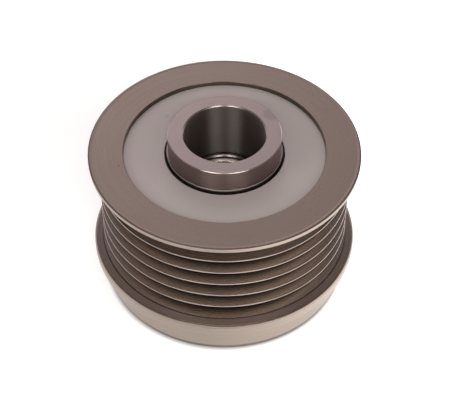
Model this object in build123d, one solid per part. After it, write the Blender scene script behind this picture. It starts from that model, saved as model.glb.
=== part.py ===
from build123d import *
import math
import os

# Alternator pulley with a one-way roller clutch between two ball bearings.
# It stands on its front skirt, with the side that faces the alternator up.
# The origin is the centre of the front face, and +Z runs along the bore to the rear.
# All sizes are in millimetres. Radii are built outwards from the shaft thread.
# Heights are built upwards from the front face.

# Shaft seat and hub
thread_radius = 8.0
thread_pitch = 1.5
ledge_width = 0.75
hub_wall = 3.75
collar_step = 0.3
collar_height = 4.4
pilot_depth = 13.5
pilot_undercut_depth = 0.25
pilot_undercut_width = 0.7
hub_edge_chamfer = 0.15
bore_edge_chamfer = 0.35
journal_below_rear_face = 0.3
hub_front_inset = 0.3

# Drive socket in the front end of the hub
socket_depth = 7.3
socket_wall = 2.3
socket_tooth_height = 0.8
socket_tooth_count = 33
socket_relief_length = 1.8
socket_relief_depth = 0.3

# Ball bearings
bearing_section = 8.5
bearing_width = 9.0
ball_radius = 2.381
ball_count = 12
ball_clearance = 0.02
raceway_conformity = 1.04
shoulder_depth = 0.95
ring_chamfer = 0.3

# Ball cages, each pressed from two strips
cage_sheet = 0.35
cage_pocket_clearance = 0.1
cage_land_clearance = 0.35

# Bearing shields
shield_sheet = 0.35
shield_inset = 0.25
shield_seat_depth = 0.45
shield_bead_width = 0.5
shield_clearance = 0.2

# Roller clutch
roller_radius = 2.0
roller_count = 8
roller_clearance = 0.03
cam_wall = 1.94
cam_lobe_height = 1.5
ramp_angle = 6.0
ramp_end_room = 0.35
spring_room = 3.2
clutch_end_clearance = 0.3
clutch_cage_end = 1.4
clutch_cage_seat_clearance = 0.1
clutch_cage_race_clearance = 0.2
roller_end_clearance = 0.1
roller_edge_chamfer = 0.25
spring_sheet = 0.18
spring_fold_count = 5
spring_height_share = 0.7
spring_wave = 0.55
spring_end_clearance = 0.06

# Belt rim
rim_wall = 2.6
belt_pitch = 3.56
groove_count = 6
groove_angle = 40.0
crest_rounding = 0.2
groove_floor_rounding = 0.5
flange_height = 2.156
flange_edge = 1.05
flange_chamfer = 0.12
flange_slope_width = 1.7
flange_inner_rounding = 0.2
flange_bend_rounding = 0.5
rear_flange_to_groove = 4.4
lip_thickness = 1.95
lip_slope_height = 1.21
lip_rounding = 1.2
lip_lower_rounding = 0.4
skirt_length = 8.0
skirt_step = 2.3
skirt_fillet_height = 1.5
skirt_fillet = 0.8
skirt_edge_rounding = 1.1

# Seals and the recesses that hold them
seal_step = 0.8
seal_thickness = 0.9
seal_relief = 0.3
seal_seat_width = 1.5
seal_gap = 0.46
seal_edge_chamfer = 0.12
rear_recess_depth = 1.1
front_recess_depth = 2.1
recess_chamfer = 0.12
seal_lip_clearance = 0.06
seal_lip_top_drop = 0.12
seal_lip_edge = 0.18

# Radii, from the shaft outwards
thread_minor_radius = thread_radius - thread_pitch * 5 / 8 * math.sqrt(3) / 2
pilot_radius = thread_radius + ledge_width
journal_radius = pilot_radius + hub_wall
collar_radius = journal_radius - collar_step
socket_root_radius = journal_radius - socket_wall
socket_tip_radius = socket_root_radius - socket_tooth_height
housing_radius = journal_radius + bearing_section
ball_pitch_radius = (journal_radius + housing_radius) / 2
groove_floor_radius = housing_radius + rim_wall

# The belt groove: straight sides with a rounded floor and rounded crests.
groove_slope = math.tan(math.radians(groove_angle / 2))
rounding_reach = 1 / math.sin(math.radians(groove_angle / 2)) - 1
groove_floor_corner = groove_floor_radius - groove_floor_rounding * rounding_reach
crest_corner = groove_floor_corner + belt_pitch / 2 / groove_slope
crest_radius = crest_corner - crest_rounding * rounding_reach
flange_radius = crest_radius + flange_height
skirt_radius = flange_radius - skirt_step

# Heights, from the front face to the rear face
lip_top_height = skirt_length + lip_thickness
lip_bend_height = lip_top_height + lip_slope_height
last_groove_height = lip_bend_height + (crest_radius - groove_floor_corner) * groove_slope
first_groove_height = last_groove_height + (groove_count - 1) * belt_pitch
rim_length = first_groove_height + rear_flange_to_groove
front_bearing_low = front_recess_depth + seal_thickness
front_bearing_high = front_bearing_low + bearing_width
rear_bearing_high = rim_length - rear_recess_depth - seal_thickness
rear_bearing_low = rear_bearing_high - bearing_width
hub_front = front_recess_depth + hub_front_inset
journal_top = rim_length - journal_below_rear_face
hub_top = rim_length + collar_height
ledge_height = hub_top - pilot_depth
socket_top = hub_front + socket_depth
thread_low = socket_top + socket_relief_length

# Bearing rings
raceway_radius = ball_radius * raceway_conformity
outer_raceway_floor = ball_pitch_radius + ball_radius + ball_clearance
inner_raceway_floor = ball_pitch_radius - ball_radius - ball_clearance
outer_land = outer_raceway_floor - shoulder_depth
inner_land = inner_raceway_floor + shoulder_depth
shield_seat_radius = outer_land + shield_seat_depth

# Roller clutch
cam_floor_radius = journal_radius + cam_wall
race_radius = cam_floor_radius + 2 * (roller_radius + roller_clearance)
roller_centre = race_radius - roller_clearance - roller_radius
cam_lobe_radius = cam_floor_radius + cam_lobe_height
clutch_cage_low = front_bearing_high + clutch_end_clearance
clutch_cage_high = rear_bearing_low - clutch_end_clearance
window_low = clutch_cage_low + clutch_cage_end
window_high = clutch_cage_high - clutch_cage_end
window_behind = roller_radius + spring_room
window_ahead = roller_radius + ramp_end_room

# Seals
seal_seat_radius = housing_radius + seal_step
seal_inner_radius = journal_radius + seal_gap


def ring(outer, inner, low, high):
    """A plain ring between two radii and two heights."""
    return lathe([(inner, low), (outer, low), (outer, high), (inner, high)])


def lathe(points, roundings=None, cuts=()):
    """Turns a closed outline of (radius, height) points about the Z axis.

    roundings gives the corners that are rounded, by their place in the list.
    cuts are (radius, height, size) circles taken out of the section.
    """
    radii = [0.0] * len(points)
    for place, size in (roundings or {}).items():
        radii[place] = size
    section = make_face(FilletPolyline(*points, radius=radii, close=True))
    for centre_radius, centre_height, size in cuts:
        section -= Pos(centre_radius, centre_height) * Circle(size)
    return revolve(Plane.XZ * section, Axis.Z)


def prism(points, low, high):
    """Extrudes a closed outline of (x, y) points between two heights."""
    section = make_face(Polyline(*points, close=True))
    return Pos(0, 0, low) * extrude(section, high - low)


def around(piece, count):
    """Copies of a piece, evenly spaced about the Z axis."""
    return [Rot(0, 0, 360 * number / count) * piece for number in range(count)]


def group(pieces):
    """Separate solids that share one node."""
    return Compound([solid for piece in pieces for solid in piece.solids()])


def turned_over(piece):
    """The same piece with its front and rear swapped, about its own middle plane z = 0."""
    return mirror(piece, Plane.XY)


def belt_side():
    """The rim's outside from the rear flange down to the lip, with its rounded corners.

    Each groove is two straight sides. Their corners at the floor and the crest are
    rounded, so the outline needs only one point for each. The first groove's upper side
    bends near its end and runs on as the underside of the flange.
    """
    bend_radius = flange_radius - flange_slope_width
    bend_height = first_groove_height + (bend_radius - groove_floor_corner) * groove_slope
    points = [
        (flange_radius - flange_chamfer, rim_length, 0),
        (flange_radius, rim_length - flange_chamfer, 0),
        (flange_radius, rim_length - flange_edge, flange_inner_rounding),
        (bend_radius, bend_height, flange_bend_rounding),
    ]
    for number in range(groove_count):
        height = first_groove_height - number * belt_pitch
        points.append((groove_floor_corner, height, groove_floor_rounding))
        if number < groove_count - 1:
            points.append((crest_corner, height - belt_pitch / 2, crest_rounding))
    points += [
        (crest_radius, lip_bend_height, 0),
        (flange_radius, lip_top_height, lip_rounding),
    ]
    return points


def make_pulley_rim():
    outline = belt_side() + [
        (flange_radius, skirt_length, lip_lower_rounding),
        (skirt_radius, skirt_length - skirt_fillet_height, skirt_fillet),
        (skirt_radius, 0, skirt_edge_rounding),
        (seal_seat_radius + recess_chamfer, 0, 0),
        (seal_seat_radius, recess_chamfer, 0),
        (seal_seat_radius, front_bearing_low, 0),
        (housing_radius, front_bearing_low, 0),
        (housing_radius, rear_bearing_high, 0),
        (seal_seat_radius, rear_bearing_high, 0),
        (seal_seat_radius, rim_length - recess_chamfer, 0),
        (seal_seat_radius + recess_chamfer, rim_length, 0),
    ]
    points = [(radius, height) for radius, height, _ in outline]
    roundings = {place: corner[2] for place, corner in enumerate(outline) if corner[2]}
    return lathe(points, roundings)


def socket_outline():
    """The drive socket's section: a ring of truncated V teeth that point inwards."""
    points = []
    step = 2 * math.pi / socket_tooth_count
    for number in range(socket_tooth_count):
        for radius, place in (
            (socket_root_radius, -0.15),
            (socket_root_radius, 0.15),
            (socket_tip_radius, 0.38),
            (socket_tip_radius, 0.62),
        ):
            angle = step * (number + place)
            points.append((radius * math.cos(angle), radius * math.sin(angle)))
    return points


def make_hub():
    """The hub, turned in one piece, with the teeth of its drive socket broached."""
    relief_radius = thread_radius + socket_relief_depth
    outline = [
        (pilot_radius + bore_edge_chamfer, hub_top),
        (collar_radius - hub_edge_chamfer, hub_top),
        (collar_radius, hub_top - hub_edge_chamfer),
        (collar_radius, journal_top),
        (journal_radius - hub_edge_chamfer / 2, journal_top),
        (journal_radius, journal_top - hub_edge_chamfer / 2),
        (journal_radius, hub_front + hub_edge_chamfer),
        (journal_radius - hub_edge_chamfer, hub_front),
        (thread_minor_radius, hub_front),
        (thread_minor_radius, ledge_height),
        (pilot_radius + pilot_undercut_depth, ledge_height),
        (pilot_radius + pilot_undercut_depth, ledge_height + pilot_undercut_width),
        (pilot_radius, ledge_height + pilot_undercut_width + pilot_undercut_depth),
        (pilot_radius, hub_top - bore_edge_chamfer),
    ]
    relief = Pos(0, 0, socket_top) * Cylinder(
        relief_radius, socket_relief_length, align=(Align.CENTER, Align.CENTER, Align.MIN)
    )
    socket_mouth = Pos(0, 0, hub_front) * Cone(
        socket_root_radius + hub_edge_chamfer,
        socket_root_radius - socket_tooth_height - hub_edge_chamfer,
        socket_tooth_height + 2 * hub_edge_chamfer,
        align=(Align.CENTER, Align.CENTER, Align.MIN),
    )
    return lathe(outline) - prism(socket_outline(), hub_front, socket_top) - relief - socket_mouth


def make_outer_ring():
    """A bearing's outer ring, about the bearing's middle plane."""
    half = bearing_width / 2
    seat = half - shield_inset - shield_sheet
    outline = [
        (housing_radius - ring_chamfer, half),
        (shield_seat_radius, half),
        (shield_seat_radius, seat),
        (outer_land, seat),
        (outer_land, -seat),
        (shield_seat_radius, -seat),
        (shield_seat_radius, -half),
        (housing_radius - ring_chamfer, -half),
        (housing_radius, ring_chamfer - half),
        (housing_radius, half - ring_chamfer),
    ]
    return lathe(outline, cuts=[(outer_raceway_floor - raceway_radius, 0, raceway_radius)])


def make_inner_ring():
    """A bearing's inner ring, about the bearing's middle plane."""
    half = bearing_width / 2
    outline = [
        (journal_radius + ring_chamfer, half),
        (inner_land, half),
        (inner_land, -half),
        (journal_radius + ring_chamfer, -half),
        (journal_radius, ring_chamfer - half),
        (journal_radius, half - ring_chamfer),
    ]
    return lathe(outline, cuts=[(inner_raceway_floor + raceway_radius, 0, raceway_radius)])


def make_balls():
    ball = Pos(ball_pitch_radius, 0, 0) * Sphere(ball_radius)
    return group(around(ball, ball_count))


def make_cage_half():
    """The rear half of a ribbon cage: flat webs with a half-round pocket over each ball."""
    pocket_radius = ball_radius + cage_pocket_clearance
    cage_inner = inner_land + cage_land_clearance
    cage_outer = outer_land - cage_land_clearance
    band = ring(cage_outer, cage_inner, 0, pocket_radius + cage_sheet)
    web = ring(cage_outer, cage_inner, 0, cage_sheet)
    shells = around(Pos(ball_pitch_radius, 0, 0) * Sphere(pocket_radius + cage_sheet), ball_count)
    hollows = around(Pos(ball_pitch_radius, 0, 0) * Sphere(pocket_radius), ball_count)
    return web + [band & shell for shell in shells] - hollows


def make_shield():
    """The rear shield of a bearing: a thin ring with a beaded edge in the outer ring's seat."""
    high = bearing_width / 2 - shield_inset
    low = high - shield_sheet
    bead_high = high + shield_inset / 2
    outline = [
        (inner_land + shield_clearance, low),
        (shield_seat_radius, low),
        (shield_seat_radius, bead_high),
        (shield_seat_radius - shield_bead_width, bead_high),
        (shield_seat_radius - shield_bead_width - shield_inset, high),
        (inner_land + shield_clearance, high),
    ]
    return lathe(outline)


def make_clutch_race():
    outline = [
        (race_radius + ring_chamfer, front_bearing_high),
        (housing_radius, front_bearing_high),
        (housing_radius, rear_bearing_low),
        (race_radius + ring_chamfer, rear_bearing_low),
        (race_radius, rear_bearing_low - ring_chamfer),
        (race_radius, front_bearing_high + ring_chamfer),
    ]
    return lathe(outline)


def make_cam_ring():
    """The clutch's inner ring. Each pocket has a ramp that rises in the +Z turning sense.

    A rim that gets ahead of the hub in that sense rolls each roller up its ramp, and
    they lock. A hub that gets ahead of the rim frees them.
    """
    slope = math.tan(math.radians(ramp_angle))
    seat = (roller_radius + roller_clearance) / math.cos(math.radians(ramp_angle))
    floor_behind = roller_centre - seat - window_behind * slope
    floor_ahead = roller_centre - seat + window_ahead * slope
    pocket = prism(
        [
            (floor_behind, -window_behind),
            (race_radius, -window_behind),
            (race_radius, window_ahead),
            (floor_ahead, window_ahead),
        ],
        front_bearing_high,
        rear_bearing_low,
    )
    blank = ring(cam_lobe_radius, journal_radius, front_bearing_high, rear_bearing_low)
    return blank - around(pocket, roller_count)


def make_clutch_rollers():
    low = window_low + roller_end_clearance
    length = window_high - roller_end_clearance - low
    outline = [
        (0, low),
        (roller_radius - roller_edge_chamfer, low),
        (roller_radius, low + roller_edge_chamfer),
        (roller_radius, low + length - roller_edge_chamfer),
        (roller_radius - roller_edge_chamfer, low + length),
        (0, low + length),
    ]
    return group(around(Pos(roller_centre, 0, 0) * lathe(outline), roller_count))


def make_clutch_cage():
    """The moulded cage: two end rings joined by bars, with a window for each roller."""
    body = ring(
        race_radius - clutch_cage_race_clearance,
        cam_lobe_radius + clutch_cage_seat_clearance,
        clutch_cage_low,
        clutch_cage_high,
    )
    window = prism(
        [
            (journal_radius, -window_behind),
            (housing_radius, -window_behind),
            (housing_radius, window_ahead),
            (journal_radius, window_ahead),
        ],
        window_low,
        window_high,
    )
    return body - around(window, roller_count)


def make_clutch_springs():
    """A folded leaf spring behind each roller, which keeps it at the foot of its ramp."""
    start = -window_behind + spring_end_clearance
    end = -roller_radius - spring_end_clearance
    step = (end - start) / spring_fold_count
    leaf_width = spring_sheet * math.hypot(2 * spring_wave, step) / step
    near_side = []
    far_side = []
    for number in range(spring_fold_count + 1):
        x = roller_centre - leaf_width / 2 + spring_wave * (-1) ** number
        y = start + step * number
        near_side.append((x, y))
        far_side.append((x + leaf_width, y))
    centre = (window_low + window_high) / 2
    half_height = spring_height_share * (window_high - window_low) / 2
    leaf = prism(near_side + far_side[::-1], centre - half_height, centre + half_height)
    return group(around(leaf, roller_count))


def make_seal_plate():
    """A seal's carrier ring, with its outer face on z = 0 and its bearing side below."""
    outline = [
        (seal_inner_radius + seal_edge_chamfer, 0),
        (seal_seat_radius - seal_edge_chamfer, 0),
        (seal_seat_radius, -seal_edge_chamfer),
        (seal_seat_radius, -seal_thickness),
        (seal_seat_radius - seal_seat_width, -seal_thickness),
        (seal_seat_radius - seal_seat_width, seal_relief - seal_thickness),
        (seal_inner_radius, seal_relief - seal_thickness),
        (seal_inner_radius, -seal_edge_chamfer),
    ]
    return lathe(outline)


def make_seal_lip():
    """The rubber lip on the plate's inner edge, which narrows towards the journal."""
    high = -seal_edge_chamfer - seal_lip_top_drop
    low = seal_relief - seal_thickness
    middle = (high + low) / 2
    tip = journal_radius + seal_lip_clearance
    outline = [
        (seal_inner_radius, low),
        (seal_inner_radius, high),
        (tip, middle + seal_lip_edge / 2),
        (tip, middle - seal_lip_edge / 2),
    ]
    return lathe(outline)


def bearing_pieces(name, middle):
    """The seven pieces of one bearing, at its place on the axis."""
    cage = make_cage_half()
    shield = make_shield()
    pieces = {
        "outer_ring": make_outer_ring(),
        "inner_ring": make_inner_ring(),
        "balls": make_balls(),
        "cage_rear_half": cage,
        "cage_front_half": turned_over(cage),
        "rear_shield": shield,
        "front_shield": turned_over(shield),
    }
    return {f"{name}_{part}": Pos(0, 0, middle) * piece for part, piece in pieces.items()}


def all_pieces():
    plate = make_seal_plate()
    lip = make_seal_lip()
    rear_face = Pos(0, 0, rim_length - rear_recess_depth)
    front_face = Pos(0, 0, front_recess_depth)
    pieces = {
        "pulley_rim": make_pulley_rim(),
        "hub": make_hub(),
        "rear_seal_plate": rear_face * plate,
        "rear_seal_lip": rear_face * lip,
        "front_seal_plate": front_face * turned_over(plate),
        "front_seal_lip": front_face * turned_over(lip),
        "clutch_outer_race": make_clutch_race(),
        "clutch_cam_ring": make_cam_ring(),
        "clutch_rollers": make_clutch_rollers(),
        "clutch_cage": make_clutch_cage(),
        "clutch_springs": make_clutch_springs(),
    }
    pieces |= bearing_pieces("rear_bearing", rear_bearing_high - bearing_width / 2)
    pieces |= bearing_pieces("front_bearing", front_bearing_low + bearing_width / 2)
    return pieces


os.makedirs("parts", exist_ok=True)
for node, piece in all_pieces().items():
    export_step(piece, f"parts/{node}.step")
print("rim length", round(rim_length, 3), "largest radius", round(flange_radius, 3))
print("thread", round(thread_low, 3), "to", round(ledge_height, 3), "top", round(hub_top, 3))
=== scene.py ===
# %% [markdown]
# # An alternator pulley, turned in Geometry Nodes
#
# This is an overrunning pulley from a car's alternator. It stands on its front skirt,
# with the side that faces the alternator up. Nearly every piece of it came off a lathe.
# So the lesson has one main idea: draw half of a section, and let a node tree turn it.

# %% Load the frame
import math
import bpy
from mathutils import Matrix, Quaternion, Vector


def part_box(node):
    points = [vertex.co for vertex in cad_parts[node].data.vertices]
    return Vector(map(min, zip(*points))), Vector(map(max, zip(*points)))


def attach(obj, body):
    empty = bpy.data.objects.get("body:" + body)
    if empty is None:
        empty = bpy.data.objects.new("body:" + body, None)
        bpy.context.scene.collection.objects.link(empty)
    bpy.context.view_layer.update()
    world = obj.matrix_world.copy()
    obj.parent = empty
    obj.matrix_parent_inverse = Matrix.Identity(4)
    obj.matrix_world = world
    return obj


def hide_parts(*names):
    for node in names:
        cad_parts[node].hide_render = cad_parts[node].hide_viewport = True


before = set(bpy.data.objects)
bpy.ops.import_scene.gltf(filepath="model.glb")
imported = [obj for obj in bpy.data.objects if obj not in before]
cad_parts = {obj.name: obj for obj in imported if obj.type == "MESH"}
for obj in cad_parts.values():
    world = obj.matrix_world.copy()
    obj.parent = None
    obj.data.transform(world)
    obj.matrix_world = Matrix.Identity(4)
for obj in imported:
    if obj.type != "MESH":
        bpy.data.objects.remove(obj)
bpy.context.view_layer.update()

# %% [markdown]
# ## Sizes
#
# The frame gives each construction node's box, in metres. A turned piece is round, so
# half of its width is its radius. Every size that a box can tell is read there, and
# follows the construction if that changes.

# %% Sizes that the frame gives
MM = 0.001


def radius_of(node):
    """The outer radius of a turned node, in millimetres."""
    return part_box(node)[1].x / MM


def heights_of(node):
    """The lowest and highest point of a node, in millimetres."""
    low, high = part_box(node)
    return low.z / MM, high.z / MM


flange_radius = radius_of("pulley_rim")
rim_length = heights_of("pulley_rim")[1]
housing_radius = radius_of("clutch_outer_race")
journal_radius = radius_of("hub")
hub_front, hub_top = heights_of("hub")
seal_seat_radius = radius_of("rear_seal_plate")
seal_inner_radius = radius_of("rear_seal_lip")
rear_plate_low, rear_plate_high = heights_of("rear_seal_plate")
front_plate_low, front_plate_high = heights_of("front_seal_plate")
rear_lip_low, rear_lip_high = heights_of("rear_seal_lip")
front_lip_low, front_lip_high = heights_of("front_seal_lip")
print("flange radius", round(flange_radius, 2), "mm, rim length", round(rim_length, 2), "mm")

# %% [markdown]
# ## A section with soft corners
#
# A cutting tool never leaves a knife edge, and a real edge shows as a thin bright line.
# So each corner of a section has a rounding. One could add a Bevel modifier to the
# finished mesh, but it would spend its faces evenly. Here the section itself is
# rounded: a corner is replaced by an arc whose two ends touch the straight sides. Smooth
# shading would let an arc bend the look of the whole flat side beside it. A guard point
# close to the arc keeps the rest of a long side flat.

# %% Round the corners of a section
EDGE = 0.1
FINE_EDGE = 0.05
ARC_STEP = math.radians(12)
LONG_SIDE = 0.5
GUARD = 0.05


def rounded(corners):
    """Points of a closed section, from (radius, height, rounding) corners in millimetres."""
    points = []
    for place, (radius, height, rounding) in enumerate(corners):
        here = Vector((radius, height))
        before = Vector(corners[place - 1][:2]) - here
        after = Vector(corners[(place + 1) % len(corners)][:2]) - here
        turn = math.pi - before.angle(after)
        if rounding == 0 or turn < ARC_STEP / 4:
            points.append(here)
            continue
        reach = rounding * math.tan(turn / 2)
        start = here + before.normalized() * reach
        to_centre = (before.normalized() + after.normalized()).normalized()
        centre = here + to_centre * rounding / math.cos(turn / 2)
        spoke = start - centre
        side = 1 if before.x * after.y - before.y * after.x < 0 else -1
        steps = max(1, round(turn / ARC_STEP))
        if before.length > LONG_SIDE:
            points.append(start + before.normalized() * GUARD)
        for step in range(steps + 1):
            angle = side * turn * step / steps
            cosine, sine = math.cos(angle), math.sin(angle)
            turned_spoke = (spoke.x * cosine - spoke.y * sine, spoke.x * sine + spoke.y * cosine)
            points.append(centre + Vector(turned_spoke))
        if after.length > LONG_SIDE:
            points.append(here + after.normalized() * (reach + GUARD))
    return points


square = [(0, 0, 1), (9, 0, 1), (9, 9, 1), (0, 9, 1)]
print("a square with rounded corners has", len(rounded(square)), "points")

# %% [markdown]
# ## Node trees in code
#
# Node trees could be drawn by hand in the editor. These steps are small functions here,
# so that a tree reads like a recipe. Every tree ends in Realize Instances and Set
# Material.

# %% Helpers for node trees
SEAM_GAP = 1e-7


def new_tree(name, inputs):
    """A geometry tree with named inputs. Gives the tree and its group input node."""
    tree = bpy.data.node_groups.new(name, "GeometryNodeTree")
    tree.interface.new_socket("Geometry", in_out="OUTPUT", socket_type="NodeSocketGeometry")
    tree.interface.new_socket("Geometry", in_out="INPUT", socket_type="NodeSocketGeometry")
    for label, kind in inputs:
        tree.interface.new_socket(label, in_out="INPUT", socket_type="NodeSocket" + kind)
    return tree, tree.nodes.new("NodeGroupInput")


def add(tree, kind, links=None, **settings):
    """A node in a tree. links maps its input names to the sockets or values for them."""
    node = tree.nodes.new(kind)
    for name, value in settings.items():
        setattr(node, name, value)
    for name, source in (links or {}).items():
        socket = node.inputs[name]
        if isinstance(source, bpy.types.NodeSocket):
            tree.links.new(source, socket)
        else:
            socket.default_value = source
    return node


def calc(tree, operation, *terms):
    """One step of arithmetic on numbers. Gives the socket with the result."""
    return add(tree, "ShaderNodeMath", dict(enumerate(terms)), operation=operation).outputs[0]


def finish_tree(tree, group_in, geometry):
    """Closes a tree: realize what was instanced, give it the material and hand it out."""
    whole = add(tree, "GeometryNodeRealizeInstances", {"Geometry": geometry})
    merged = add(
        tree,
        "GeometryNodeMergeByDistance",
        {"Geometry": whole.outputs[0], "Distance": SEAM_GAP},
    )
    painted = add(
        tree,
        "GeometryNodeSetMaterial",
        {"Geometry": merged.outputs[0], "Material": group_in.outputs["Material"]},
    )
    add(tree, "NodeGroupOutput", {"Geometry": painted.outputs[0]})
    return tree


# %% [markdown]
# ## From a tree to a piece
#
# A modifier's result exists only while Blender evaluates it, and the export wants plain
# meshes. So a tree runs once on a helper object, its result is copied, and the helper
# goes. The sign of the mesh's volume tells whether its faces look outwards.

# %% Run a tree and keep what it makes
SHARP_EDGE = math.radians(28)


def run_tree(name, source, tree, values):
    """Runs a tree on a source object's data and keeps the result as a plain mesh piece."""
    maker = bpy.data.objects.new(name + "_maker", source)
    bpy.context.scene.collection.objects.link(maker)
    modifier = maker.modifiers.new("nodes", "NODES")
    modifier.node_group = tree
    for item in tree.interface.items_tree:
        if item.in_out == "INPUT" and item.name in values:
            modifier[item.identifier] = values[item.name]
    graph = bpy.context.evaluated_depsgraph_get()
    mesh = bpy.data.meshes.new_from_object(maker.evaluated_get(graph), depsgraph=graph)
    maker.modifiers.remove(modifier)
    bpy.data.objects.remove(maker)
    mesh.name = name
    return keep_piece(name, mesh, values["Material"])


def keep_piece(name, mesh, material):
    """A finished piece: faces outwards, smooth but for its sharp corners, one material."""
    mesh.calc_loop_triangles()
    corners = [vertex.co for vertex in mesh.vertices]
    volume = 0
    for triangle in mesh.loop_triangles:
        a, b, c = (corners[index] for index in triangle.vertices)
        volume += a.dot(b.cross(c)) / 6
    if volume < 0:
        mesh.flip_normals()
    mesh.shade_smooth()
    mesh.set_sharp_from_angle(angle=SHARP_EDGE)
    mesh.materials.clear()
    mesh.materials.append(material)
    piece = bpy.data.objects.new(name, mesh)
    bpy.context.scene.collection.objects.link(piece)
    print(name, len(mesh.polygons), "faces,", round(abs(volume) / MM**3), "cubic mm")
    return piece


# %% [markdown]
# ## The lathe
#
# Curve to Mesh sweeps a section along a path. With a circle as the path it works as a
# lathe: the section's X runs outwards from the circle, and its Y runs downwards. The
# Screw modifier could turn a section too, but a tree has its sizes as named inputs, and
# this one turns every round piece.

# %% The tree that turns a section
PATH_RADIUS = 10.0
SEGMENTS = 256


def lathe_tree():
    tree, group_in = new_tree(
        "Lathe",
        [("Segments", "Int"), ("Path Radius", "Float"), ("Material", "Material")],
    )
    circle = add(
        tree,
        "GeometryNodeCurvePrimitiveCircle",
        {"Resolution": group_in.outputs["Segments"], "Radius": group_in.outputs["Path Radius"]},
    )
    swept = add(
        tree,
        "GeometryNodeCurveToMesh",
        {"Curve": circle.outputs[0], "Profile Curve": group_in.outputs["Geometry"]},
    )
    return finish_tree(tree, group_in, swept.outputs[0])


def section_curve(name, points, centre_radius=PATH_RADIUS):
    """A section as a closed poly curve, laid out as the sweep reads it."""
    curve = bpy.data.curves.new(name, "CURVE")
    curve.dimensions = "3D"
    spline = curve.splines.new("POLY")
    spline.points.add(len(points) - 1)
    for place, (radius, height) in zip(spline.points, points):
        place.co = ((radius - centre_radius) * MM, -height * MM, 0, 1)
    spline.use_cyclic_u = True
    return curve


LATHE = lathe_tree()


def turned(name, corners, material):
    """Turns a section, given by its corners, into a finished piece."""
    return run_tree(
        name,
        section_curve(name, rounded(corners)),
        LATHE,
        {"Segments": SEGMENTS, "Path Radius": PATH_RADIUS * MM, "Material": material},
    )


print("the lathe tree has", len(LATHE.nodes), "nodes")

# %% [markdown]
# ## Patterns that follow the lathe
#
# What a lathe leaves on steel runs round the axis. An image could show it, but it would
# need an unwrapped mesh. Here a pattern is worked out from the place itself: a point's
# distance from the axis and its height stay the same all the way round a ring. The angle
# joins them with a very small weight, which breaks the rings up a little.

# %% Helpers for materials
def new_material(name):
    material = bpy.data.materials.new(name)
    material.use_nodes = True
    material.node_tree.nodes.clear()
    return material, material.node_tree


def without_depth(tree, vector):
    """The vector with its third part set to zero."""
    links = {0: vector, 1: (1, 1, 0)}
    return add(tree, "ShaderNodeVectorMath", links, operation="MULTIPLY").outputs[0]


RING_SWEEP = 0.15


def round_the_axis(tree):
    """A point in millimetres, and (distance from the axis, height, weighted angle) of it."""
    place = add(tree, "ShaderNodeTexCoord")
    scaled = add(
        tree,
        "ShaderNodeVectorMath",
        {0: place.outputs["Object"], "Scale": 1 / MM},
        operation="SCALE",
    )
    flat = without_depth(tree, scaled.outputs[0])
    distance = add(tree, "ShaderNodeVectorMath", {0: flat}, operation="LENGTH")
    apart = add(tree, "ShaderNodeSeparateXYZ", {0: scaled.outputs[0]})
    angle = calc(tree, "ARCTAN2", apart.outputs["Y"], apart.outputs["X"])
    swept = calc(tree, "MULTIPLY", angle, RING_SWEEP)
    rings = add(
        tree,
        "ShaderNodeCombineXYZ",
        {"X": distance.outputs["Value"], "Y": apart.outputs["Z"], "Z": swept},
    )
    return scaled.outputs[0], rings.outputs[0]


def noise(tree, vector, scale, detail=2.0, roughness=0.5):
    return add(
        tree,
        "ShaderNodeTexNoise",
        {"Vector": vector, "Scale": scale, "Detail": detail, "Roughness": roughness},
    ).outputs["Fac"]


def remap(tree, value, low, high, to_low, to_high):
    return add(
        tree,
        "ShaderNodeMapRange",
        {"Value": value, "From Min": low, "From Max": high, "To Min": to_low, "To Max": to_high},
    ).outputs[0]


def mixed(tree, factor, first, second, blend_type="MIX"):
    """Two colours, mixed by a factor."""
    node = add(tree, "ShaderNodeMix", data_type="RGBA", blend_type=blend_type)
    for place, value in ((0, factor), (6, first), (7, second)):
        socket = node.inputs[place]
        if isinstance(value, bpy.types.NodeSocket):
            tree.links.new(value, socket)
        else:
            socket.default_value = value if isinstance(value, float) else (*value, 1)
    return node.outputs[2]


def dimmed(tree, tone, level):
    """A colour times a level."""
    links = {0: tone, "Scale": level}
    return add(tree, "ShaderNodeVectorMath", links, operation="SCALE").outputs[0]


# %% [markdown]
# ## Painted shade in the grooves, a painted highlight on the crests, and small marks
#
# The rim's tone is painted darker towards the bottom of each groove, where the shade
# falls, and lighter on the crests, as a painted highlight. One could paint that as a
# mask, but the place of a point already tells it: the tone falls with the depth of the
# groove. The wall under the flange and the seat of the ring plate get painted shade the
# same way. A mark is a small ball of darker tone. Measured in space it is a speck, and
# measured in the section it becomes a line all the way round. The lines round the axis
# here are painted shade.

# %% Tones that follow the section
GROOVE_DEPTH_RADII = (24.8, 26.8)
GROOVE_HEIGHTS = (11.25, 31.5)
GROOVE_FADE = 0.2
# Painted shade: the tone at the bottom of a groove, where the shade falls.
GROOVE_PAINTED_SHADE = 0.2
# Painted shade under the flange, where its overhang keeps the light away.
UNDER_FLANGE = (28.9, 30.4)
UNDER_FLANGE_FADES = (0.15, 0.3)
UNDER_FLANGE_PAINTED_SHADE = 0.42
# Painted highlight: a lighter tone on the outer edge of each crest.
CREST_RADII = (27.04, 27.1)
CREST_PAINTED_HIGHLIGHT = (0.42, 0.36, 0.335)
# Painted shade on the recess wall at the ring plate's seat and on the rim's inside.
SEAT_RADII = (seal_seat_radius + 0.02, seal_seat_radius + 0.1)
SEAT_PAINTED_SHADE = 0.45


def between(tree, value, limits, low_fade, high_fade):
    """1 between two limits and 0 outside them, with soft ends."""
    low, high = limits
    above = remap(tree, value, low, low + low_fade, 0, 1)
    below = remap(tree, value, high, high + high_fade, 1, 0)
    return calc(tree, "MULTIPLY", above, below)


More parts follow.
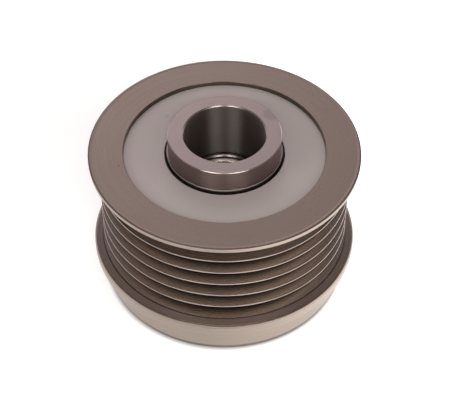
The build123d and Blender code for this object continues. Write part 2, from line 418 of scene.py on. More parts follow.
def rim_painted_shade_and_highlight(tree, rings, tone):
    """The rim's tone: painted shade in grooves, under the flange and at the seat; painted
    highlight on crests.
    """
    apart = add(tree, "ShaderNodeSeparateXYZ", {0: rings})
    radius, height = apart.outputs["X"], apart.outputs["Y"]
    deep = remap(tree, radius, *GROOVE_DEPTH_RADII, 1, 0)
    inside = between(tree, height, GROOVE_HEIGHTS, GROOVE_FADE, GROOVE_FADE)
    # Painted shade, darker towards the bottom of each groove.
    groove_level = remap(tree, calc(tree, "MULTIPLY", inside, deep), 0, 1, 1, GROOVE_PAINTED_SHADE)
    # Painted shade under the flange.
    shaded = between(tree, height, UNDER_FLANGE, *UNDER_FLANGE_FADES)
    flange_level = remap(tree, shaded, 0, 1, 1, UNDER_FLANGE_PAINTED_SHADE)
    # Painted highlight on the crests.
    crest = calc(tree, "MULTIPLY", remap(tree, radius, *CREST_RADII, 0, 1), inside)
    tone = mixed(tree, crest, tone, CREST_PAINTED_HIGHLIGHT)
    tone = dimmed(tree, tone, calc(tree, "MINIMUM", groove_level, flange_level))
    # Painted shade on the recess wall at the seat.
    return dimmed(tree, tone, remap(tree, radius, *SEAT_RADII, SEAT_PAINTED_SHADE, 1))


def marks_and_painted_shade(tree, points, tone, marks):
    """Small dull marks and rings of painted shade: each a place, its inner and outer radius, and
    its depth of tone.
    """
    for place, inner, outer, depth in marks:
        apart = add(tree, "ShaderNodeVectorMath", {0: points, 1: place}, operation="DISTANCE")
        tone = dimmed(tree, tone, remap(tree, apart.outputs["Value"], inner, outer, depth, 1))
    return tone


# %% [markdown]
# ## Steel from the lathe
#
# The base is the metal's own colour at full Metallic. Over it lie the tool's rings, which
# change the tone, the shine and the bump together, then wide clouds of a warmer tone,
# and small dull spots. Walls that were bored or ground stretch a reflection into an
# upright stripe. The Anisotropic input does that, with the tangent running round Z.

# %% The turned steel material
RING_SCALE = 9.0
RING_EDGES = (0.3, 0.72)
RING_SHARE = 0.16
RING_DEPTH = 0.004
BUMP_STRENGTH = 0.1
CLOUD_SCALE = 0.09
CLOUD_EDGES = (0.35, 0.68)
SPOT_SCALE = 1.7
SPOT_EDGES = (0.62, 0.8)
SPOT_SHARE = 0.4
DULL_SHARE = 0.8
SHINE_EDGES = (0.3, 0.7)
SHINE_SPREAD = (0.05, 0.06)
STRETCH_TURN = 0.25


def turned_steel(
    name,
    colour,
    warm_colour,
    rough,
    metallic=1.0,
    painted_rim_light=False,
    stretch=0.0,
    marks=(),
    painted_shade_rings=(),
):
    """Steel with the tool's rings. Marks lie in space, and rings of painted shade run round the
    axis.
    """
    material, tree = new_material(name)
    scaled, rings = round_the_axis(tree)
    ring_noise = noise(tree, rings, RING_SCALE, detail=4, roughness=0.6)
    clouds = noise(tree, scaled, CLOUD_SCALE)
    spots = noise(tree, scaled, SPOT_SCALE, detail=4, roughness=0.7)
    darker = tuple(DULL_SHARE * part for part in colour)
    tone = mixed(tree, remap(tree, clouds, *CLOUD_EDGES, 0, 1), colour, warm_colour)
    tone = mixed(tree, remap(tree, ring_noise, *RING_EDGES, 0, RING_SHARE), tone, darker)
    tone = mixed(tree, remap(tree, spots, *SPOT_EDGES, 0, SPOT_SHARE), tone, darker)
    smoother, rougher = SHINE_SPREAD
    shine = remap(tree, ring_noise, *SHINE_EDGES, rough - smoother, rough + rougher)
    # The rim gets painted shade in its grooves and a painted highlight on its crests.
    if painted_rim_light:
        tone = rim_painted_shade_and_highlight(tree, rings, tone)
    tone = marks_and_painted_shade(tree, scaled, tone, marks)
    # Rings of painted shade, which run round the axis.
    tone = marks_and_painted_shade(tree, without_depth(tree, rings), tone, painted_shade_rings)
    bump = add(
        tree,
        "ShaderNodeBump",
        {"Height": ring_noise, "Strength": BUMP_STRENGTH, "Distance": RING_DEPTH * MM},
    )
    shader = add(
        tree,
        "ShaderNodeBsdfPrincipled",
        {"Base Color": tone, "Metallic": metallic, "Roughness": shine, "Normal": bump.outputs[0]},
    )
    if stretch:
        around = add(tree, "ShaderNodeTangent", direction_type="RADIAL", axis="Z")
        tree.links.new(around.outputs[0], shader.inputs["Tangent"])
        shader.inputs["Anisotropic"].default_value = stretch
        shader.inputs["Anisotropic Rotation"].default_value = STRETCH_TURN
    add(tree, "ShaderNodeOutputMaterial", {"Surface": shader.outputs[0]})
    return material


# %% [markdown]
# ## The steels of this pulley
#
# All the steel pieces share one material function and differ in colour and shine. The
# colours are a little brown, as the oiled steel in the photograph is. The marks sit where
# the photograph shows them: a speck on the flange, a smudge on the collar and two specks
# on the ring plate. Rings of painted shade darken the nick at the lip, the skirt's foot
# and two corners down in the bore.

# %% The steels
FLANGE_SPECK = ((-22.4, -5.5, 35.0), 0.12, 0.24, 0.4)
# Painted shade in the nick below the last crest.
LIP_NICK_PAINTED_SHADE = ((27.38, 10.88, 0), 0.1, 0.26, 0.75)
# Painted shade on the skirt's rounded foot, next to the paper.
FOOT_PAINTED_SHADE = ((26.9, 0.8, 0), 0.4, 0.75, 0.5)
COLLAR_SMUDGE = ((10.2, 6.2, 39.4), 1.6, 2.3, 0.84)
# Painted shade in the relief groove at the foot of the pilot bore.
RELIEF_PAINTED_SHADE = ((8.4, 25.8, 0), 0.3, 0.5, 0.4)
# Painted shade on the countersink below the ledge.
SINK_PAINTED_SHADE = ((7.43, 25.7, 0), 0.3, 0.45, 0.65)
PLATE_SPECKS = [
    ((-12.9, 11.1, 33.9), 0.1, 0.35, 0.8),
    ((-12.6, 11.5, 33.9), 0.1, 0.35, 0.86),
]
WALL_ROUGH = 0.5

rim_steel = turned_steel(
    "rim_steel",
    (0.335, 0.286, 0.242),
    (0.335, 0.272, 0.234),
    0.24,
    painted_rim_light=True,
    marks=[FLANGE_SPECK],
    painted_shade_rings=[LIP_NICK_PAINTED_SHADE, FOOT_PAINTED_SHADE],
)
hub_steel = turned_steel(
    "hub_steel",
    (0.45, 0.4, 0.375),
    (0.44, 0.385, 0.365),
    0.22,
    marks=[COLLAR_SMUDGE],
    painted_shade_rings=[RELIEF_PAINTED_SHADE, SINK_PAINTED_SHADE],
)
# Painted highlight: the thread's steel is a lighter copy of the hub's steel.
thread_highlit_steel = turned_steel("thread_highlit_steel", (0.66, 0.6, 0.57), (0.64, 0.57, 0.55), 0.25)
# Painted shade: the two wall steels are darker copies of the hub's steel.
collar_wall_shaded_steel = turned_steel(
    "collar_wall_shaded_steel",
    (0.27, 0.2, 0.187),
    (0.257, 0.19, 0.177),
    WALL_ROUGH,
    stretch=1.0,
)
bore_wall_shaded_steel = turned_steel(
    "bore_wall_shaded_steel",
    (0.3, 0.27, 0.25),
    (0.285, 0.25, 0.235),
    WALL_ROUGH,
    stretch=1.0,
)
plate_steel = turned_steel(
    "plate_steel",
    (0.43, 0.39, 0.37),
    (0.42, 0.37, 0.36),
    0.45,
    metallic=0.35,
    marks=PLATE_SPECKS,
)
bearing_steel = turned_steel("bearing_steel", (0.66, 0.65, 0.63), (0.62, 0.61, 0.60), 0.2)
print("materials so far:", [material.name for material in bpy.data.materials])

# %% [markdown]
# ## Rubber and moulded plastic
#
# The seal lips are black rubber and the clutch cage is a pale moulded plastic. Both are
# plain next to the steel. A fine noise in the bump keeps them from looking like glass.

# %% Rubber and plastic
GRAIN_SCALE = 14.0
GRAIN_STRENGTH = 0.3
BLOTCH_SCALE = 0.8
BLOTCH_SHARE = 0.5
BLOTCH_TONE = 0.7
MOULDED_EDGES = (0.3, 0.7)
MOULDED_SPREAD = 0.06


def moulded(name, colour, rough, grain):
    """A moulded surface whose grain is given by its depth in millimetres."""
    material, tree = new_material(name)
    scaled, _ = round_the_axis(tree)
    speckle = noise(tree, scaled, GRAIN_SCALE, detail=3)
    blotches = noise(tree, scaled, BLOTCH_SCALE)
    darker = tuple(BLOTCH_TONE * part for part in colour)
    tone = mixed(tree, remap(tree, blotches, *MOULDED_EDGES, 0, BLOTCH_SHARE), colour, darker)
    shine = remap(tree, speckle, *MOULDED_EDGES, rough - MOULDED_SPREAD, rough + MOULDED_SPREAD)
    bump = add(
        tree,
        "ShaderNodeBump",
        {"Height": speckle, "Strength": GRAIN_STRENGTH, "Distance": grain * MM},
    )
    shader = add(
        tree,
        "ShaderNodeBsdfPrincipled",
        {"Base Color": tone, "Roughness": shine, "Normal": bump.outputs[0]},
    )
    add(tree, "ShaderNodeOutputMaterial", {"Surface": shader.outputs[0]})
    return material


seal_rubber = moulded("seal_rubber", (0.008, 0.006, 0.005), rough=0.6, grain=0.02)
cage_plastic = moulded("cage_plastic", (0.62, 0.52, 0.34), rough=0.45, grain=0.01)
print("moulded materials:", seal_rubber.name, "and", cage_plastic.name)

# %% [markdown]
# ## The belt rim
#
# The rim carries a ribbed belt, so its outside has V grooves at an even pitch. In a
# section, each groove is one corner at the floor and one at the crest, and the rounding
# does the rest. The grooves are a loop over the pitch. Above them is the rear flange,
# below them the front lip, and then the skirt that the pulley stands on.

# %% The rim's outside
BELT_PITCH = 3.56
GROOVE_COUNT = 6
GROOVE_SLOPE = math.tan(math.radians(20))
GROOVE_FLOOR_CORNER = 22.645
GROOVE_ROUNDING = 0.5
FIRST_GROOVE_BELOW_REAR = 4.4
CREST_CORNER = GROOVE_FLOOR_CORNER + BELT_PITCH / 2 / GROOVE_SLOPE
CREST_ROUNDING = 0.2
FLANGE_EDGE = 1.05
FLANGE_BEND_RADIUS = 27.6
EDGE_RIDGE = 0.07
EDGE_FALL = 0.16
LAST_CREST_RADIUS = 27.28
LAST_CREST_HEIGHT = 11.14
LIP_BEND_RADIUS = 28.62
LIP_BEND_HEIGHT = 10.45
LIP_EDGE_RADIUS = 29.06
LIP_EDGE_HEIGHT = 10.16
LIP_OUTER_HEIGHT = 9.68


def belt_side():
    """Corners of the rim's outside, from the rear flange down to the lip."""
    first = rim_length - FIRST_GROOVE_BELOW_REAR
    bend_height = first + (FLANGE_BEND_RADIUS - GROOVE_FLOOR_CORNER) * GROOVE_SLOPE
    corners = [
        (flange_radius - 0.8, rim_length - EDGE_RIDGE, EDGE),
        (flange_radius - 0.35, rim_length, EDGE),
        (flange_radius, rim_length - EDGE_FALL, 0.07),
        (flange_radius, rim_length - FLANGE_EDGE, 0.2),
        (FLANGE_BEND_RADIUS, bend_height, GROOVE_ROUNDING),
    ]
    for number in range(GROOVE_COUNT):
        height = first - number * BELT_PITCH
        corners.append((GROOVE_FLOOR_CORNER, height, GROOVE_ROUNDING))
        if number < GROOVE_COUNT - 1:
            corners.append((CREST_CORNER, height - BELT_PITCH / 2, CREST_ROUNDING))
    return corners + [
        (LAST_CREST_RADIUS, LAST_CREST_HEIGHT, 0.03),
        (LAST_CREST_RADIUS - 0.05, LAST_CREST_HEIGHT - 0.22, 0),
        (LAST_CREST_RADIUS + 0.2, LAST_CREST_HEIGHT - 0.17, 0.03),
        (LIP_BEND_RADIUS, LIP_BEND_HEIGHT, 0.4),
        (LIP_EDGE_RADIUS, LIP_EDGE_HEIGHT, 0.12),
        (flange_radius, LIP_OUTER_HEIGHT, 0.25),
    ]


print("the rim's outside has", len(belt_side()), "corners")

# %% [markdown]
# ## The rim as a whole
#
# The section is closed by the lip's underside, the skirt, and the inside with a recess for
# a ring plate at each end. Each recess is a step wider than the bearings' seat.

# %% The rim
LIP_LOW = 8.0
SKIRT_TOP = 6.5
SKIRT_RADIUS = flange_radius - 2.3
RECESS_CHAMFER = 0.3
SEAT_CHAMFER = 0.12

rim_corners = belt_side() + [
    (flange_radius, LIP_LOW, 0.4),
    (SKIRT_RADIUS, SKIRT_TOP, 0.8),
    (SKIRT_RADIUS, 0, 1.1),
    (seal_seat_radius + RECESS_CHAMFER, 0, EDGE),
    (seal_seat_radius, RECESS_CHAMFER, EDGE),
    (seal_seat_radius, front_plate_high, 0),
    (housing_radius, front_plate_high, 0),
    (housing_radius, rear_plate_low, 0),
    (seal_seat_radius, rear_plate_low, 0),
    (seal_seat_radius, rim_length - EDGE_RIDGE - SEAT_CHAMFER, FINE_EDGE),
    (seal_seat_radius + SEAT_CHAMFER, rim_length - EDGE_RIDGE, FINE_EDGE),
]
pulley_rim = turned("turned_rim", rim_corners, rim_steel)
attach(pulley_rim, "rim")
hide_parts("pulley_rim")

# %% [markdown]
# ## The hub
#
# The hub screws onto the alternator's shaft. From the top its bore shows three things:
# a smooth pilot, a ledge, and the first turns of the thread. The construction stops at
# the thread's inner radius, so the fine thread is made here: the bore is opened to the
# thread's outer radius, and a helical ridge is laid in it.

# %% The hub's section
THREAD_RADIUS = 8.0
THREAD_PITCH = 1.5
THREAD_MINOR_RADIUS = 7.188
THREAD_LOW = 11.5
THREAD_LAND = 0.2
PILOT_RADIUS = 8.75
COLLAR_RADIUS = journal_radius - 0.3
JOURNAL_TOP = rim_length - 0.3
JOURNAL_CHAMFER = (0.1, 0.2)
LEDGE_HEIGHT = 25.9
SINK_RADIUS = 7.58
SINK_HEIGHT = LEDGE_HEIGHT - (SINK_RADIUS - THREAD_MINOR_RADIUS - FINE_EDGE)
LAND_RADIUS = THREAD_MINOR_RADIUS + FINE_EDGE
TOP_CHAMFER = 0.15
BORE_CHAMFER = 0.25
FRONT_CHAMFER = 0.3
RELIEF_DEPTH = 0.5
RELIEF_RADIUS = PILOT_RADIUS - 0.4
SOCKET_TOP = 9.7
SOCKET_ROOT_RADIUS = 10.2
SOCKET_TIP_RADIUS = 9.4

hub_corners = [
    (COLLAR_RADIUS - TOP_CHAMFER, hub_top, 0.02),
    (COLLAR_RADIUS, hub_top - TOP_CHAMFER, 0.02),
    (COLLAR_RADIUS, JOURNAL_TOP, 0),
    (journal_radius - JOURNAL_CHAMFER[0], JOURNAL_TOP, FINE_EDGE),
    (journal_radius, JOURNAL_TOP - JOURNAL_CHAMFER[1], FINE_EDGE),
    (journal_radius, hub_front + FRONT_CHAMFER, EDGE),
    (journal_radius - FRONT_CHAMFER, hub_front, EDGE),
    (SOCKET_ROOT_RADIUS + FRONT_CHAMFER, hub_front, EDGE),
    (SOCKET_ROOT_RADIUS, hub_front + FRONT_CHAMFER, EDGE),
    (SOCKET_ROOT_RADIUS, SOCKET_TOP, 0),
    (THREAD_RADIUS + FRONT_CHAMFER, SOCKET_TOP, EDGE),
    (THREAD_RADIUS + FRONT_CHAMFER, THREAD_LOW, EDGE),
    (THREAD_RADIUS, THREAD_LOW + FRONT_CHAMFER, 0),
    (THREAD_RADIUS, SINK_HEIGHT - THREAD_LAND, 0),
    (LAND_RADIUS, SINK_HEIGHT - THREAD_LAND, FINE_EDGE),
    (LAND_RADIUS, SINK_HEIGHT, FINE_EDGE),
    (SINK_RADIUS, LEDGE_HEIGHT, 0.06),
    (RELIEF_RADIUS, LEDGE_HEIGHT, FINE_EDGE),
    (RELIEF_RADIUS, LEDGE_HEIGHT - RELIEF_DEPTH, 0),
    (PILOT_RADIUS, LEDGE_HEIGHT - RELIEF_DEPTH, 0),
    (PILOT_RADIUS, hub_top - BORE_CHAMFER, 0.03),
    (PILOT_RADIUS + BORE_CHAMFER, hub_top, 0.03),
]
hub = turned("turned_hub", hub_corners, hub_steel)
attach(hub, "hub")
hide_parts("hub")

# %% [markdown]
# ## Stretched light on the upright walls
#
# The collar's outside and the pilot bore show upright stripes of light, which the flat
# faces don't. So these two walls have a material of their own, and it is also darker
# than the hub's steel: painted shade on both walls. Each face tells by its normal whether
# it stands upright, and by its distance from the axis which wall it is.

# %% The hub's walls
UPRIGHT = 0.05
WALLS_ABOVE = 27.0
BETWEEN_WALLS = 10.0

wall_faces = 0
hub.data.materials.append(collar_wall_shaded_steel)
hub.data.materials.append(bore_wall_shaded_steel)
for face in hub.data.polygons:
    if abs(face.normal.z) < UPRIGHT and face.center.z > WALLS_ABOVE * MM:
        face.material_index = 1 if face.center.xy.length > BETWEEN_WALLS * MM else 2
        wall_faces += 1
print(wall_faces, "of the hub's faces are upright walls")

# %% [markdown]
# ## The thread
#
# A thread is a small section swept along a helix. The Spiral node gives the helix from
# the number of turns and the height, so the pitch stays exact. The ridge is a metric
# one: its sides stand at 60 degrees to each other, and its crest reaches an eighth of a
# pitch to each side of the middle. Here the crest is chamfered down to a narrow flat.

# %% The thread's tree
HELIX_STEPS = 96


def thread_tree():
    tree, group_in = new_tree(
        "Thread",
        [
            ("Turns", "Float"),
            ("Pitch", "Float"),
            ("Radius", "Float"),
            ("Base", "Float"),
            ("Material", "Material"),
        ],
    )
    helix = add(
        tree,
        "GeometryNodeCurveSpiral",
        {
            "Resolution": HELIX_STEPS,
            "Rotations": group_in.outputs["Turns"],
            "Start Radius": group_in.outputs["Radius"],
            "End Radius": group_in.outputs["Radius"],
            "Height": calc(
                tree, "MULTIPLY", group_in.outputs["Turns"], group_in.outputs["Pitch"]
            ),
            "Reverse": True,
        },
    )
    upright = add(tree, "GeometryNodeSetCurveNormal", {"Curve": helix.outputs[0]}, mode="Z_UP")
    ridge = add(
        tree,
        "GeometryNodeCurveToMesh",
        {
            "Curve": upright.outputs[0],
            "Profile Curve": group_in.outputs["Geometry"],
            "Fill Caps": True,
        },
    )
    up = add(tree, "ShaderNodeCombineXYZ", {"Z": group_in.outputs["Base"]})
    placed = add(
        tree,
        "GeometryNodeTransform",
        {"Geometry": ridge.outputs[0], "Translation": up.outputs[0]},
    )
    return finish_tree(tree, group_in, placed.outputs[0])


THREAD = thread_tree()
print("the thread tree has", len(THREAD.nodes), "nodes")

# %% The thread
THREAD_START = 13.225
THREAD_END_GAP = 0.45
THREAD_ROOT = THREAD_RADIUS + 0.04
RIDGE_HALF = THREAD_PITCH * 7 / 16
CREST_HALF = THREAD_PITCH / 8
CREST_CHAMFER = 0.4
SHOULDER_HALF = CREST_HALF + CREST_CHAMFER * math.tan(math.radians(30))
TIP_HALF = SHOULDER_HALF - CREST_CHAMFER

thread_turns = (SINK_HEIGHT - THREAD_LAND - THREAD_END_GAP - THREAD_START) / THREAD_PITCH
ridge_section = [
    (THREAD_ROOT, -RIDGE_HALF),
    (THREAD_MINOR_RADIUS + CREST_CHAMFER, -SHOULDER_HALF),
    (THREAD_MINOR_RADIUS, -TIP_HALF),
    (THREAD_MINOR_RADIUS, TIP_HALF),
    (THREAD_MINOR_RADIUS + CREST_CHAMFER, SHOULDER_HALF),
    (THREAD_ROOT, RIDGE_HALF),
]
hub_thread = run_tree(
    "hub_thread",
    section_curve("ridge", ridge_section, THREAD_RADIUS),
    THREAD,
    {
        "Turns": thread_turns,
        "Pitch": THREAD_PITCH * MM,
        "Radius": THREAD_RADIUS * MM,
        "Base": THREAD_START * MM,
        "Material": thread_highlit_steel,
    },
)
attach(hub_thread, "hub")
print("the thread has", round(thread_turns, 2), "turns")

# %% [markdown]
# ## The drive socket's teeth
#
# The wrench that screws the hub on grips a ring of small teeth in its front end. One
# tooth is a short prism that already stands at its radius, and the tree sets copies of
# it on points at the axis, each turned by its share of a full turn, so that all of them
# point at the axis.

# %% The tree that sets the teeth
def teeth_tree():
    tree, group_in = new_tree("Teeth", [("Count", "Int"), ("Material", "Material")])
    line = add(
        tree,
        "GeometryNodeMeshLine",
        {"Count": group_in.outputs["Count"], "Offset": (0, 0, 0)},
    )
    number = add(tree, "GeometryNodeInputIndex")
    share = calc(tree, "DIVIDE", number.outputs[0], group_in.outputs["Count"])
    turn = add(tree, "ShaderNodeCombineXYZ", {"Z": calc(tree, "MULTIPLY", share, 2 * math.pi)})
    copies = add(
        tree,
        "GeometryNodeInstanceOnPoints",
        {
            "Points": line.outputs[0],
            "Instance": group_in.outputs["Geometry"],
            "Rotation": turn.outputs[0],
        },
    )
    return finish_tree(tree, group_in, copies.outputs[0])


TEETH = teeth_tree()
print("the teeth tree has", len(TEETH.nodes), "nodes")

# %% The teeth
SOCKET_TEETH = 33
TOOTH_CORNERS = (
    (SOCKET_ROOT_RADIUS + 0.05, 0.15),
    (SOCKET_TIP_RADIUS, 0.38),
    (SOCKET_TIP_RADIUS, 0.62),
    (SOCKET_ROOT_RADIUS + 0.05, 0.85),
)
TOOTH_LEVELS = (
    (hub_front + FRONT_CHAMFER, 0.25),
    (hub_front + 0.55, 0),
    (SOCKET_TOP, 0),
)


def tooth_mesh():
    """One tooth: a prism that narrows towards the axis, with a lead at its front end."""
    step = 2 * math.pi / SOCKET_TEETH
    mesh = bpy.data.meshes.new("tooth")
    vertices = []
    for height, lead in TOOTH_LEVELS:
        for radius, place in TOOTH_CORNERS:
            radius = radius + lead if radius < SOCKET_ROOT_RADIUS else radius
            angle = step * place
            corner = (radius * math.cos(angle), radius * math.sin(angle), height)
            vertices.append([MM * part for part in corner])
    faces = [(0, 1, 2, 3), (11, 10, 9, 8)]
    for level in (0, 4):
        for corner in range(4):
            following = (corner + 1) % 4
            below = (level + following, level + corner)
            faces.append((*below, below[1] + 4, below[0] + 4))
    mesh.from_pydata(vertices, [], faces)
    return mesh


socket_teeth = run_tree(
    "socket_teeth",
    tooth_mesh(),
    TEETH,
    {"Count": SOCKET_TEETH, "Material": hub_steel},
)
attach(socket_teeth, "hub")

# %% [markdown]
# ## The seals
#
# A grey ring plate closes each side of the rim, and a black rubber lip on its inner
# edge runs against the hub's journal. Both are turned like the rest. A plate's bearing
# side is relieved, so that it clears the bearing's inner ring.

# %% Seal plates and lips
SEAT_WIDTH = 1.5
PLATE_RELIEF = 0.3
RUBBER_CLEARANCE = 0.06
RUBBER_EDGE_HALF = 0.09


def seal_plate(name, outer_face, bearing_face, node):
    """A seal's carrier ring, from the height of its outer face to the bearing's."""
    inward = 1 if bearing_face > outer_face else -1
    relieved = bearing_face - PLATE_RELIEF * inward
    corners = [
        (seal_inner_radius, outer_face, EDGE),
        (seal_seat_radius, outer_face, EDGE),
        (seal_seat_radius, bearing_face, 0),
        (seal_seat_radius - SEAT_WIDTH, bearing_face, 0),
        (seal_seat_radius - SEAT_WIDTH, relieved, 0),
        (seal_inner_radius, relieved, 0),
    ]
    piece = turned(name, corners, plate_steel)
    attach(piece, "rim")
    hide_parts(node)


def seal_lip(name, low, high, node):
    """A rubber ring whose blunt inner edge stands close to the journal."""
    middle = (low + high) / 2
    tip = journal_radius + RUBBER_CLEARANCE
    corners = [
        (seal_inner_radius, low, 0),
        (seal_inner_radius, high, 0),
        (tip, middle + RUBBER_EDGE_HALF, 0.04),
        (tip, middle - RUBBER_EDGE_HALF, 0.04),
    ]
    piece = turned(name, corners, seal_rubber)
    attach(piece, "rim")
    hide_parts(node)


seal_plate("rear_plate", rear_plate_high, rear_plate_low, "rear_seal_plate")
seal_plate("front_plate", front_plate_low, front_plate_high, "front_seal_plate")
seal_lip("rear_lip", rear_lip_low, rear_lip_high, "rear_seal_lip")
seal_lip("front_lip", front_lip_low, front_lip_high, "front_seal_lip")

# %% [markdown]
# ## The pieces inside
#
# Two ball bearings and a roller clutch work behind the seals. Blender could model them
# once more, but they are hidden, and the construction has them in full. So they stay as
# they are and only get a finish: bright steel, and plastic for the clutch's cage.

# %% Finishes for the inner pieces
carried = 0
for name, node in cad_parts.items():
    if node.hide_render:
        continue
    finish = cage_plastic if name == "clutch_cage" else bearing_steel
    node.data.materials.clear()
    node.data.materials.append(finish)
    carried += 1
print(carried, "inner pieces have their finish")

# %% [markdown]
# ## The floor
#
# The pulley stands on white paper that fills the view. Lamps strong enough to make paper
# white would burn out the steel. So the paper glows in what the camera and the metal see,
# and less at the left, where the photograph's skirt is darker. In the corner under the
# skirt's rounded foot hardly any light arrives, so a contact shadow is painted there: the
# paper's colour is darker and its glow fades.

# %% Floor
FLOOR_SIZE = 3.0
FLOOR_GLOW = (0.28, 1.0)
GLOW_EDGES = (-0.005, 0.03)
# Painted contact shadow: near the skirt's foot the paper's colour darkens and its glow fades.
FOOT_SHADE = (0.0264, 0.0276)
SHADED_PAPER = (0.35, 0.35, 0.35)
PAPER = (0.86, 0.86, 0.86)


def floor_material():
    material, tree = new_material("white_paper")
    path = add(tree, "ShaderNodeLightPath")
    place = add(tree, "ShaderNodeTexCoord")
    apart = add(tree, "ShaderNodeSeparateXYZ", {0: place.outputs["Object"]})
    across = remap(tree, apart.outputs["X"], *GLOW_EDGES, *FLOOR_GLOW)
    flat = add(tree, "ShaderNodeVectorMath", {0: place.outputs["Object"]}, operation="LENGTH")
    # The painted contact shadow: 0 at the skirt's foot and 1 beyond it.
    clear = remap(tree, flat.outputs["Value"], *FOOT_SHADE, 0, 1)
    tone = mixed(tree, clear, SHADED_PAPER, PAPER)
    paper = add(tree, "ShaderNodeBsdfDiffuse", {"Color": tone})
    level = calc(tree, "MULTIPLY", across, clear)
    glow = add(tree, "ShaderNodeEmission", {"Color": (1, 1, 1, 1), "Strength": level})
    both = add(tree, "ShaderNodeAddShader", {0: paper.outputs[0], 1: glow.outputs[0]})
    seen = calc(tree, "MAXIMUM", path.outputs["Is Camera Ray"], path.outputs["Is Glossy Ray"])
    seen = calc(tree, "MAXIMUM", seen, path.outputs["Is Transmission Ray"])
    links = {0: seen, 1: paper.outputs[0], 2: both.outputs[0]}
    surface = add(tree, "ShaderNodeMixShader", links)
    add(tree, "ShaderNodeOutputMaterial", {"Surface": surface.outputs[0]})
    return material


half = FLOOR_SIZE / 2
floor_corners = [(-half, -half, 0), (half, -half, 0), (half, half, 0), (-half, half, 0)]
floor_mesh = bpy.data.meshes.new("floor")
floor_mesh.from_pydata(floor_corners, [], [(0, 1, 2, 3)])
floor_mesh.materials.append(floor_material())
floor = bpy.data.objects.new("floor", floor_mesh)
bpy.context.scene.collection.objects.link(floor)
print("the floor is", FLOOR_SIZE, "m wide")

# %% [markdown]
# ## The room
#
# Steel has little colour of its own and shows what stands around it. The flat faces
# mirror the wall behind the pulley, where a soft window is. The rounded edges sweep over
# a panel overhead and a pale curtain in front. All round, the room is white near the
# horizon. An image of a studio could do this, but a few rules on the direction of the
# ray are easier to change, and they are the same for every ray.

# %% The room's parts
WINDOW = Vector((-0.11, 0.82, 0.57)).normalized()
ROOM_STOPS = ((0.2, 0.22), (0.85, 0.33), (0.92, 0.46), (0.975, 0.64), (0.99, 0.88), (1.0, 1.0))
ROOM_TINT = (1.0, 0.88, 0.92)
CEILING_TINT = (1.0, 0.78, 0.66)
CEILING_BELOW = 0.5
PANEL_LEVEL = 0.55
PANEL_HALF = (0.36, 0.44)
PANEL_FRONT = (-0.2, 0.0)
CURTAIN_TONE = (0.58, 0.5, 0.46)
CURTAIN_HALF = (0.7, 0.85)
CURTAIN_TOP = (0.8, 0.92)
LEAST_HEIGHT = 0.05
LEAST_AHEAD = 0.01


def window_glow(tree, direction):
    """The dim room, brighter the closer a direction is to the window's."""
    towards = add(
        tree,
        "ShaderNodeVectorMath",
        {0: direction, 1: WINDOW},
        operation="DOT_PRODUCT",
    )
    ramp = add(tree, "ShaderNodeValToRGB", {"Fac": towards.outputs["Value"]})
    stops = ramp.color_ramp.elements
    while len(stops) < len(ROOM_STOPS):
        stops.new(0.5)
    for stop, (position, level) in zip(stops, ROOM_STOPS):
        tint = CEILING_TINT if position < CEILING_BELOW else ROOM_TINT
        stop.position = position
        stop.color = (*(level * part for part in tint), 1)
    return ramp.outputs[0]


def panel_share(tree, x, y, z):
    """1 on the panel overhead, which reaches backwards, and 0 beside it."""
    height = calc(tree, "MAXIMUM", z, LEAST_HEIGHT)
    sideways = calc(tree, "DIVIDE", calc(tree, "ABSOLUTE", x), height)
    backwards = calc(tree, "DIVIDE", y, height)
    side = remap(tree, sideways, *PANEL_HALF, 1, 0)
    front = remap(tree, backwards, *PANEL_FRONT, 0, 1)
    return calc(tree, "MULTIPLY", side, front)


def curtain_share(tree, x, y, z):
    """1 on the curtain in front of the pulley and 0 beside and above it."""
    ahead = calc(tree, "MAXIMUM", calc(tree, "MULTIPLY", y, -1.0), LEAST_AHEAD)
    aside = calc(tree, "DIVIDE", calc(tree, "ABSOLUTE", x), ahead)
    side = remap(tree, aside, *CURTAIN_HALF, 1, 0)
    top = remap(tree, z, *CURTAIN_TOP, 1, 0)
    return calc(tree, "MULTIPLY", side, top)


print("the window stands", round(math.degrees(math.asin(WINDOW.z))), "degrees up")

# %% The room
HORIZON = (0.08, 0.2)


def room():
    """A dim room with a window, a panel, a curtain and a white horizon."""
    world = bpy.data.worlds.new("room")
    world.use_nodes = True
    tree = world.node_tree
    tree.nodes.clear()
    where = add(tree, "ShaderNodeTexCoord")
    direction = where.outputs["Generated"]
    x, y, z = add(tree, "ShaderNodeSeparateXYZ", {0: direction}).outputs
    glow = window_glow(tree, direction)
    panel_tone = tuple(PANEL_LEVEL * part for part in ROOM_TINT)
    overhead = mixed(tree, panel_share(tree, x, y, z), glow, panel_tone)
    lightest = mixed(tree, 1.0, glow, overhead, blend_type="LIGHTEN")
    with_curtain = mixed(tree, curtain_share(tree, x, y, z), lightest, CURTAIN_TONE)
    tone = mixed(tree, remap(tree, z, *HORIZON, 0, 1), (1, 1, 1), with_curtain)
    seen = add(tree, "ShaderNodeBackground", {"Color": tone, "Strength": 1.0})
    add(tree, "ShaderNodeOutputWorld", {"Surface": seen.outputs[0]})
    return world


bpy.context.scene.world = room()
print("the room has", len(bpy.context.scene.world.node_tree.nodes), "nodes")

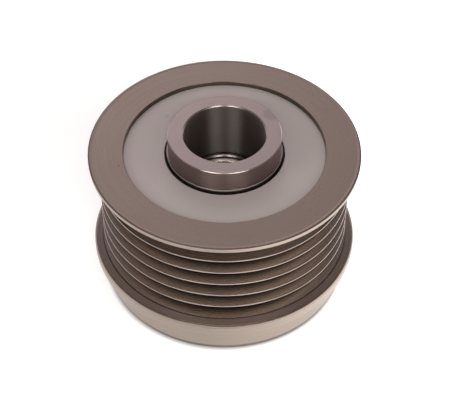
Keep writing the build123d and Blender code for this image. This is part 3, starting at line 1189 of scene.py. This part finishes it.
# %% [markdown]
# ## The lamps
#
# Area lamps give the soft shadow on the paper and light the plate and the rubber. Three of
# them are hidden from the metal, which has the room to mirror. The wide and low one in
# front is not: its reflection is the bright line on every rounded edge.

# %% Lamps
LAMP_TARGET = Vector((0, 0, 0.02))
LAMPS = (
    ("front", (0.0, -0.55, 0.57), (0.2, 0.2), 2.5, False),
    ("side", (0.75, -0.45, 0.45), (0.35, 0.35), 2.2, False),
    ("left", (-0.75, -0.45, 0.45), (0.35, 0.35), 3.4, False),
    ("window", (0.0, -0.55, 0.57), (1.0, 0.12), 1.6, True),
)


def softbox(name, place, size, power, glints):
    """An area lamp that faces the pulley. Glints says whether metal mirrors it."""
    lamp = bpy.data.lights.new(name, "AREA")
    lamp.shape = "RECTANGLE"
    lamp.size, lamp.size_y = size
    lamp.energy = power
    holder = bpy.data.objects.new(name, lamp)
    holder.location = place
    holder.rotation_euler = (LAMP_TARGET - Vector(place)).to_track_quat("-Z", "Y").to_euler()
    holder.visible_glossy = glints
    bpy.context.scene.collection.objects.link(holder)


for lamp in LAMPS:
    softbox(*lamp)
print(len(LAMPS), "lamps with", round(sum(lamp[3] for lamp in LAMPS), 1), "W in all")

# %% [markdown]
# ## The camera
#
# The camera looks down at about 46 degrees with a long lens. Its place and turn come
# from fitting the pulley's circles to the photograph.

# %% Camera
CAMERA_PLACE = (0.00091, -0.2156, 0.2403)
LOOK_DOWN = math.radians(45.736)
ROLL = math.radians(0.381)
LENS = 109.33

camera_data = bpy.data.cameras.new("camera")
camera_data.lens = LENS
camera_data.sensor_width = 36.0
camera_data.clip_start = 0.01
camera = bpy.data.objects.new("camera", camera_data)
camera.location = CAMERA_PLACE
look = Vector((0, math.cos(LOOK_DOWN), -math.sin(LOOK_DOWN)))
camera.rotation_mode = "QUATERNION"
camera.rotation_quaternion = Quaternion(look, -ROLL) @ look.to_track_quat("-Z", "Y")
bpy.context.scene.collection.objects.link(camera)
bpy.context.scene.camera = camera
bpy.context.scene.view_settings.view_transform = "Standard"
print("the camera has a lens of", LENS, "mm")
